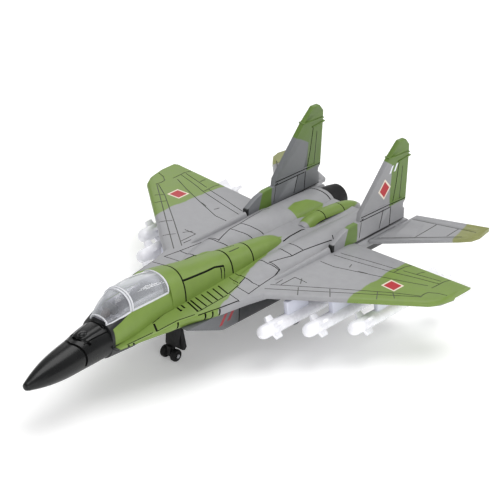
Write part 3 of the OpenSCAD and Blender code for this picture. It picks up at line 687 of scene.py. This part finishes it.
bm = bmesh.new()
bmesh.ops.create_uvsphere(bm, u_segments=32, v_segments=20, radius=nose["ballRadius"] * mm,
                          matrix=Matrix.Translation(place(*nose["ball"])))
bmesh.ops.scale(bm, vec=(1, 1.5, 0.8), space=Matrix.Translation(-place(*nose["ball"])), verts=bm.verts)
makePiece(bm, "sensor_ball", [blackPlastic], "airframe")
print("nose ready")

screen = {"arches": [(30, 2.9, 2.62, 4.3), (31.6, 3.6, 3.14, 6), (33.4, 4.2, 3.73, 7.5),
                     (35.5, 4.7, 4.28, 8.8), (38, 5.05, 4.9, 9.8)], "wall": 0.55}
hood = {"arches": [(38.45, 5.1, 5, 9.9), (41, 5.2, 5, 10.4), (45, 5.25, 5, 10.6), (49.5, 5.25, 5, 10.2),
                   (53.75, 5.2, 5, 9.4)], "wall": 0.6}


def glassShell(table, wall):  # an open clear bubble given a wall
    bm = bmesh.new()
    rows = []
    for row in between(table, 5):
        ring = arch(row[0], row[1], row[2], row[3], 0, 2.2, 36)
        verts = [bm.verts.new(p) for p in ring]
        rows.append([bm.edges.new(pair) for pair in zip(verts, verts[1:])])
    for near, far in zip(rows, rows[1:]):
        bmesh.ops.bridge_loops(bm, edges=near + far)
    bmesh.ops.recalc_face_normals(bm, faces=bm.faces)
    bmesh.ops.solidify(bm, geom=bm.faces[:], thickness=wall * mm)
    return bm


def bar(bm, points, width, height):  # a slim moulded rib along a line of points, with its outward directions
    wallMesh = bmesh.new()
    verts = [wallMesh.verts.new(p - out * height * mm / 2) for p, out in points]
    away = dict(zip(verts, [out for p, out in points]))
    edges = [wallMesh.edges.new(pair) for pair in zip(verts, verts[1:])]
    lifted = bmesh.ops.extrude_edge_only(wallMesh, edges=edges)["geom"]
    for vert in [g for g in lifted if isinstance(g, bmesh.types.BMVert)]:
        base = next(e.other_vert(vert) for e in vert.link_edges if e.other_vert(vert) in away)
        vert.co = base.co + away[base] * height * mm
    bmesh.ops.recalc_face_normals(wallMesh, faces=wallMesh.faces)
    bmesh.ops.solidify(wallMesh, geom=wallMesh.faces[:], thickness=width * mm)
    easeEdges(wallMesh, min(width, height) * 0.25, 50, 2)
    bmesh.ops.recalc_face_normals(wallMesh, faces=wallMesh.faces)
    mesh = bpy.data.meshes.new("rib")
    wallMesh.to_mesh(mesh)
    wallMesh.free()
    bm.from_mesh(mesh)
    bpy.data.meshes.remove(mesh)


def archRib(bm, row, width, height, lift=0.1):
    ring = arch(row[0], row[1] + lift, row[2], row[3] + lift, 0, 2.2, 36)
    middle = place(0, row[0], row[2])
    bar(bm, [(p, (p - middle).normalized()) for p in ring], width, height)


def sillRib(bm, table, side, width, height, lift=0.12):
    line = [(place((row[1] + 0.02) * side, row[0], row[2] + lift), Vector((side, 0, 0)))
            for row in between(table, 3)]
    bar(bm, line, height, width)


makePiece(glassShell(screen["arches"], screen["wall"]), "windscreen_shape", [clear], "airframe",
          ["windscreen"])
makePiece(glassShell(hood["arches"], hood["wall"]), "canopy_shape", [clear], "canopy",
          ["canopy"])
bm = bmesh.new()
archRib(bm, (37.7, 5.05, 4.75, 9.75), 0.55, 0.4)
for side in (1, -1):
    sillRib(bm, screen["arches"], side, 0.5, 0.5)
archRib(bm, (30.15, 2.95, 2.6, 4.35), 0.4, 0.5)
makePiece(bm, "windscreen_frame", [frameGrey], "airframe")
bm = bmesh.new()
archRib(bm, (38.5, 5.1, 5, 9.9), 0.55, 0.4)
archRib(bm, (53.3, 5.2, 5, 9.45), 0.5, 0.4)
for side in (1, -1):
    sillRib(bm, hood["arches"], side, 0.5, 0.5)
makePiece(bm, "canopy_frame", [frameGrey], "canopy")
bm = bmesh.new()
archRib(bm, (52.3, 5.1, 5, 9.3), 0.9, 0.3, -0.45)
makePiece(bm, "canopy_rear_band", [darkGrey], "canopy")
for side in (1, -1):
    bm = bmesh.new()
    plate(bm, [(37.2, 3.4), (37.2, 4.9), (44, 5.5), (53.4, 5.5), (53.4, 3.4)], 1.1, upright,
          place(3.4 * side, 0, 0))
    easeEdges(bm, 0.25)
    makePiece(bm, "side_console_left" if side > 0 else "side_console_right", [cockpitGrey], "airframe")
bm = bmesh.new()
plate(bm, [(51.2, 4), (51.2, 7.6), (51.8, 8.3), (53.6, 8.3), (53.6, 4)], 4.6, upright, place(0, 0, 0))
easeEdges(bm, 0.35)
makePiece(bm, "rear_bulkhead", [cockpitGrey], "airframe")
bm = bmesh.new()
plate(bm, [(31.9, 3.2), (31.9, 4.5), (33.6, 5.6), (35.4, 5), (36, 3.8), (36, 3.2)], 1.7, upright,
      place(0, 0, 0))
easeEdges(bm, 0.25)
makePiece(bm, "gunsight", [sightBrown], "airframe")
bm = bmesh.new()
plate(bm, [(52.6, 7.4), (52.6, 8.9), (57.4, 8.9), (58.2, 8.5), (58.2, 7.7), (57.4, 7.4)], 1.2, upright,
      place(0, 0, 0))
easeEdges(bm, 0.12)
makePiece(bm, "canopy_lug", [spinePaint], "canopy")
print("canopy ready")

for node, material, edge, slotName in (
        ("cockpit_tub", cockpitGrey, 0.2, "cockpit_grey"),
                                       ("instrument_panel", darkGrey, 0.2, "dark_grey_plastic"),
        ("seat", seatGrey, 0.3, "dark_grey_plastic"), ("belly", bellyPlastic, 0.2, "belly_plastic"),
        ("nose_leg", mattBlack, 0.15, "gear_plastic"), ("nose_gear_door", mattBlack, 0.15, "gear_plastic"),
        ("main_leg_left", mattBlack, 0.15, "gear_plastic"),
                                       ("main_leg_right", mattBlack, 0.15, "gear_plastic")):
    moulded(node, material, edge)
for node in ("nose_wheel_left", "nose_wheel_right", "main_wheel_left", "main_wheel_right"):
    moulded(node, rubber, 0.08)
fin = {
    "x": 16.6,
    "ribs": [([(137.6, 21.9), (137.6, 22.3), (147.3, 21.5), (147.3, 21.1)], 2.1),
             ([(142.2, 19.4), (142.2, 19.8), (147.9, 20.2), (147.9, 19.8)], 2.1),
             ([(125.7, 7.1), (125.7, 7.5), (139.4, 7), (145.6, 6.6), (145.6, 6.2), (139.4, 6.6)], 1.95)],
    "lines": [([(125.6, 6.9), (139.6, 6.5), (146.8, 6.1)], 0.3), ([(125.3, 5.8), (139.4, 5.5)], 0.3),
              ([(119.5, 5.2), (126.8, 6.2)], 0.3), ([(126.2, 9.2), (132.6, 17), (137.4, 22.9)], 0.25),
              ([(138, 22.2), (146.9, 21.7)], 0.3), ([(141.8, 19.9), (147, 20.2)], 0.3),
              ([(137.2, 23.6), (138.4, 22.4)], 0.6),
              ([(140, 5.5), (139.8, -0.8)], 0.3), ([(136.4, 5.6), (134.9, -0.2)], 0.3),
              ([(142.8, 20), (141.8, 12), (140.6, 5.8)], 0.3), ([(126, 5.2), (125.4, 0.2)], 0.25),
              ([(144.6, 17.5), (143.9, 6.2)], 0.25)]}
tailplane = {"lines": [[(18.6, 132.6), (36.2, 151)], [(18.6, 149.6), (37.6, 156.4)],
                       [(26.6, 140.4), (26.2, 151.8)], [(33, 148), (32.6, 154.4)]]}
for side, end in (("left", 1), ("right", -1)):
    finLines = []
    for x in (60, -60):
        for points, width in fin["lines"]:
            finLines.append((across(points, x), width, 0.2, 1 if width > 0.25 else 2))
    moulded("fin_" + side, finPaintAndShade, 0.28, finLines)
    bm = bmesh.new()
    for outline, thick in fin["ribs"]:
        rib = bmesh.new()
        plate(rib, outline, thick, upright, place(fin["x"] * end, 0, 0))
        easeEdges(rib, 0.08)
        ribMesh = bpy.data.meshes.new("rib")
        rib.to_mesh(ribMesh)
        rib.free()
        bm.from_mesh(ribMesh)
        bpy.data.meshes.remove(ribMesh)
    makePiece(bm, "fin_ribs_" + side, [finPaintAndShade], "airframe")
    tailLines = [(down([(x * end, s) for x, s in line]), 0.24, 0.14, 2) for line in tailplane["lines"]]
    moulded("tailplane_" + side, tailplanePaint, 0.3, tailLines)
    moulded("intake_" + side, intakePaint, 0.25,
            [(across([(73.6, -9.6), (73.6, -3)], 60 * end), 0.5, 0.3, 1)])
    moulded("nozzle_" + side, mattBlack, 0.12)
    moulded("burner_" + side, darkGrey, 0.1)
    for row in ("inner", "middle", "outer"):
        moulded("pylon_" + row + "_" + side, pylonWhiteInPaintedShade, 0.3)
        moulded("missile_" + row + "_" + side, whitePlastic, 0.2, sharp=40)
for name in frame["nodes"]:
    if "pin" in name or "axle" in name or name == "body_screws":
        frame["nodes"][name].data.materials.clear()
        frame["nodes"][name].data.materials.append(steel)
print("moulded pieces ready")

floorMesh = bpy.data.meshes.new("floor")
bm = bmesh.new()
bmesh.ops.create_grid(bm, x_segments=1, y_segments=1, size=1.5)
bm.to_mesh(floorMesh)
bm.free()
floor = bpy.data.objects.new("floor", floorMesh)
bpy.context.scene.collection.objects.link(floor)
floorMesh.materials.append(surface("plain white sweep", "#fbfbfb", rough=(0.8, 0.9), mottle=0.003, bump=0.0,
                                   shine=0.1, glow=0.2))


def lamp(name, kind, spot, target, energy, size=1.0, colour="#ffffff"):
    light = bpy.data.lights.new(name, kind)
    light.energy = energy
    light.color = linear(colour)[:3]
    if kind == "AREA":
        light.size = size
    holder = bpy.data.objects.new(name, light)
    holder.location = spot
    holder.rotation_euler = (Vector(target) - Vector(spot)).to_track_quat("-Z", "Y").to_euler()
    bpy.context.scene.collection.objects.link(holder)


lamp("overhead softbox", "AREA", (0.05, 0.1, 0.9), (0, 0, 0.02), 4.7, 0.7)
lamp("front fill", "AREA", (0.7, -0.7, 0.55), (0, 0, 0.02), 1.6, 0.6)
lamp("canopy strip", "AREA", (0.42, 0.62, 0.5), (0, -0.03, 0.03), 0.9, 0.25)
lamp("low fill", "AREA", (0.75, -0.35, 0.12), (0, 0, 0.02), 1.4, 0.4)
lamp("rim", "AREA", (-0.6, 0.6, 0.5), (0, 0, 0.02), 1, 0.5)
world = bpy.data.worlds.new("studio")
bpy.context.scene.world = world
world.use_nodes = True
world.node_tree.nodes["Background"].inputs[0].default_value = linear("#ffffff")
world.node_tree.nodes["Background"].inputs[1].default_value = 0.4
bpy.context.scene.view_settings.view_transform = "Standard"

view = {"azimuth": 39.61, "elevation": 27.91, "roll": 2.42, "distance": 0.9796, "lens": 241.06,
        "shiftX": 0.0254, "shiftY": 0.0178}
a, e, r = (radians(view[k]) for k in ("azimuth", "elevation", "roll"))
back = Vector((sin(a) * cos(e), -cos(a) * cos(e), sin(e)))
right = (-back).cross(Vector((0, 0, 1))).normalized()
up = right.cross(-back)
rolledRight = cos(r) * right + sin(r) * up
rolledUp = -sin(r) * right + cos(r) * up
cameraData = bpy.data.cameras.new("camera")
cameraData.lens = view["lens"]
cameraData.sensor_width = 36
cameraData.shift_x = view["shiftX"]
cameraData.shift_y = view["shiftY"]
cameraData.clip_start = 0.01
camera = bpy.data.objects.new("camera", cameraData)
turn = Matrix((rolledRight, rolledUp, back)).transposed().to_4x4()
camera.matrix_world = Matrix.Translation(place(0, 90, 0) + back * view["distance"]) @ turn
bpy.context.scene.collection.objects.link(camera)
bpy.context.scene.camera = camera
